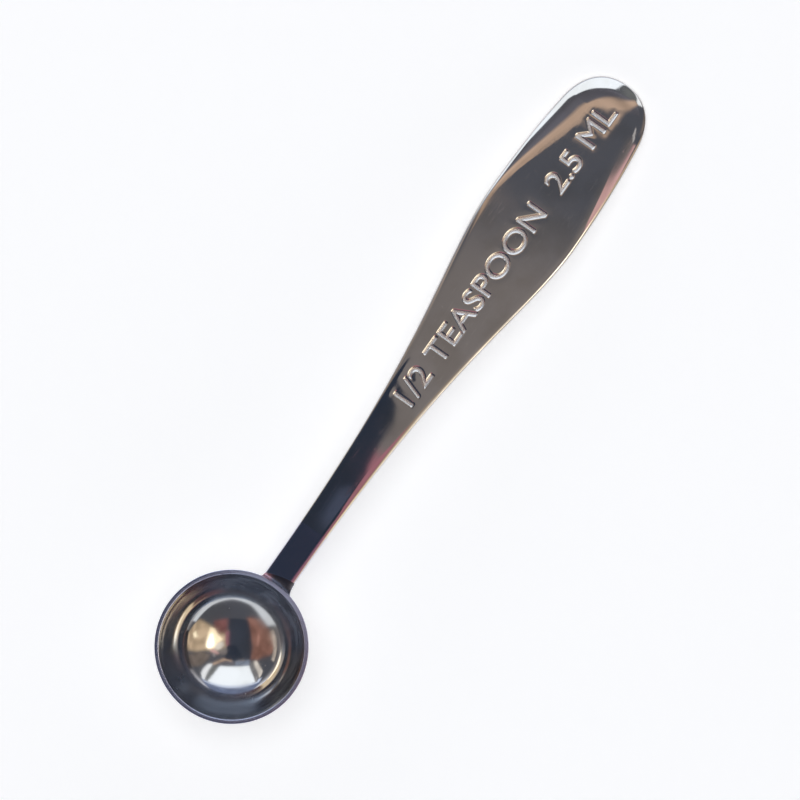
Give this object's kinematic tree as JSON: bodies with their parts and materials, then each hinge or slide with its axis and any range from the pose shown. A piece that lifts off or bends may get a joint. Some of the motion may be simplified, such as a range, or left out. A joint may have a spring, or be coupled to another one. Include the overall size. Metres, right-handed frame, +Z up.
{
  "type": "measuring spoon",
  "caption": "Polished steel measuring spoon: a deep round cup welded to a slim neck that widens into a flat paddle handle with rolled edges, for scooping powdered tea.",
  "frame": {"origin": "on the table, under the middle of the spoon's length, on its plane of symmetry", "axes": "+X from the bowl towards the handle's tip, +Z up out of the bowl's mouth, +Y to the left of the handle"},
  "size_m": [0.1275, 0.0256, 0.0099],
  "materials": {
    "bowl_steel": "mirror-polished stainless steel",
    "handle_steel": "mirror-polished stainless steel with fine handling scratches",
    "weld_steel": "dressed and buffed weld, satin"
  },
  "bodies": {
    "root": {"bowl": "bowl_steel", "handle": "handle_steel", "weld_bead": "weld_steel"}
  },
  "joints": []
}
